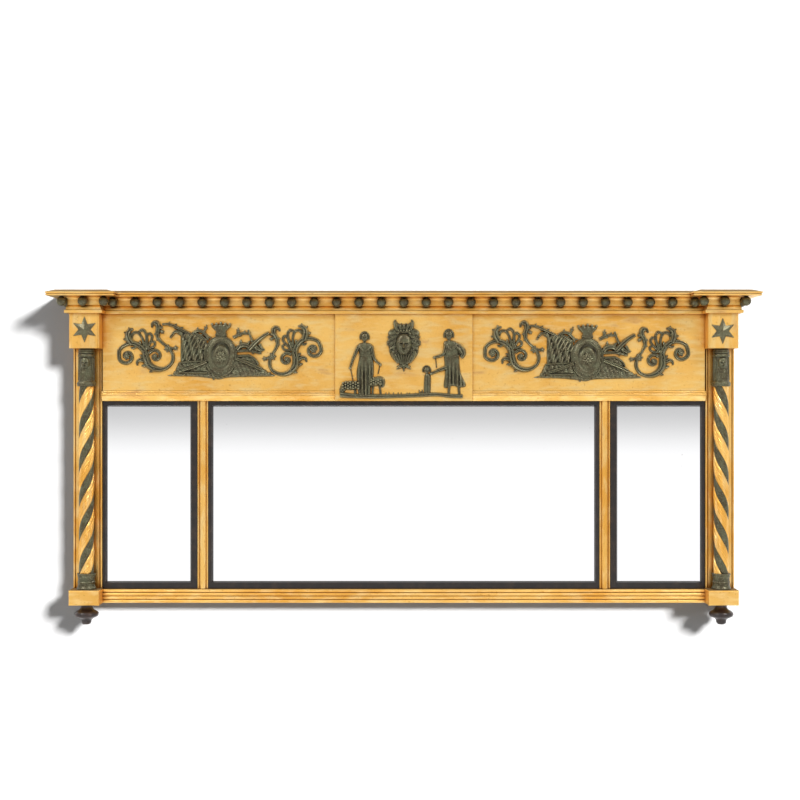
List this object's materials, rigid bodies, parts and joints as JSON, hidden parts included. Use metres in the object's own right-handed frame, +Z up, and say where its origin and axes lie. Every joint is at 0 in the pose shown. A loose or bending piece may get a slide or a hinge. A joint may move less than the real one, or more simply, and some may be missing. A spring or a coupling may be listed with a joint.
{
  "type": "overmantel mirror",
  "caption": "Giltwood overmantel mirror: wide centre plate between side plates, twisted corner columns, relief frieze with centre tablet and ball-hung breakfront cornice.",
  "frame": {"origin": "on the wall plane, at the centre of the bottom rail's back face", "axes": "+X to the viewer's right, +Y into the wall, +Z up; the mirror faces -Y"},
  "size_m": [1.5, 0.1125, 0.7105],
  "materials": {
    "gilt_wood": "water-gilt and burnished over bole, lightly rubbed",
    "gilt_and_bronzed_wood": "gilt lobes with bronzed spiral bands",
    "bronzed_wood": "bronzed green-brown paint, satin",
    "bronzed_composition": "bronzed green-brown paint on moulded composition, satin",
    "dark_turned_wood": "dark polished turnery",
    "ebonised_wood": "ebonised, satin, worn at the edges",
    "carcase_pine": "bare aged pine",
    "silvered_glass": "silvered plate, plain flat glass",
    "aged_brass": "dull aged brass",
    "iron_screw": "dull iron"
  },
  "bodies": {
    "frame": {"architrave_left": "gilt_wood", "architrave_right": "gilt_wood", "backboard_centre": "carcase_pine", "backboard_left": "carcase_pine", "backboard_right": "carcase_pine", "bed_mould_centre": "gilt_wood", "bed_mould_left": "gilt_wood", "bed_mould_right": "gilt_wood", "bottom_rail": "gilt_wood", "capital_left": "bronzed_wood", "capital_right": "bronzed_wood", "column_base_left": "bronzed_wood", "column_base_right": "bronzed_wood", "column_left": "gilt_and_bronzed_wood", "column_right": "gilt_and_bronzed_wood", "corner_block_left": "gilt_wood", "corner_block_right": "gilt_wood", "cornice_balls": "bronzed_wood", "cornice_core": "carcase_pine", "crown_centre": "gilt_wood", "crown_left": "gilt_wood", "crown_right": "gilt_wood", "foot_left": "dark_turned_wood", "foot_right": "dark_turned_wood", "frieze_panel_left": "gilt_wood", "frieze_panel_right": "gilt_wood", "frieze_tablet": "gilt_wood", "glass_centre": "silvered_glass", "glass_left": "silvered_glass", "glass_right": "silvered_glass", "glazing_blocks": "carcase_pine", "hanger_screws": "iron_screw", "hanger_strap_left": "aged_brass", "hanger_strap_right": "aged_brass", "mask": "bronzed_composition", "mullion_left": "gilt_wood", "mullion_right": "gilt_wood", "plinth_left": "gilt_wood", "plinth_right": "gilt_wood", "scroll_inner_left": "bronzed_composition", "scroll_inner_right": "bronzed_composition", "scroll_outer_left": "bronzed_composition", "scroll_outer_right": "bronzed_composition", "slip_centre": "ebonised_wood", "slip_left": "ebonised_wood", "slip_right": "ebonised_wood", "star_left": "bronzed_wood", "star_right": "bronzed_wood", "stile_left": "gilt_wood", "stile_right": "gilt_wood", "tablet_figures": "bronzed_composition", "top_rail": "carcase_pine", "trophy_left": "bronzed_composition", "trophy_right": "bronzed_composition"},
    "ring_left": {"hanger_ring_left": "aged_brass"},
    "ring_right": {"hanger_ring_right": "aged_brass"}
  },
  "joints": [
    {"name": "ring_left_hinge", "type": "hinge", "parent": "frame", "child": "ring_left", "pos_m": [-0.5, -0.0045, 0.56], "axis": [1, 0, 0], "range_deg": [0, 180]},
    {"name": "ring_right_hinge", "type": "hinge", "parent": "frame", "child": "ring_right", "pos_m": [0.5, -0.0045, 0.56], "axis": [1, 0, 0], "range_deg": [0, 180]}
  ]
}
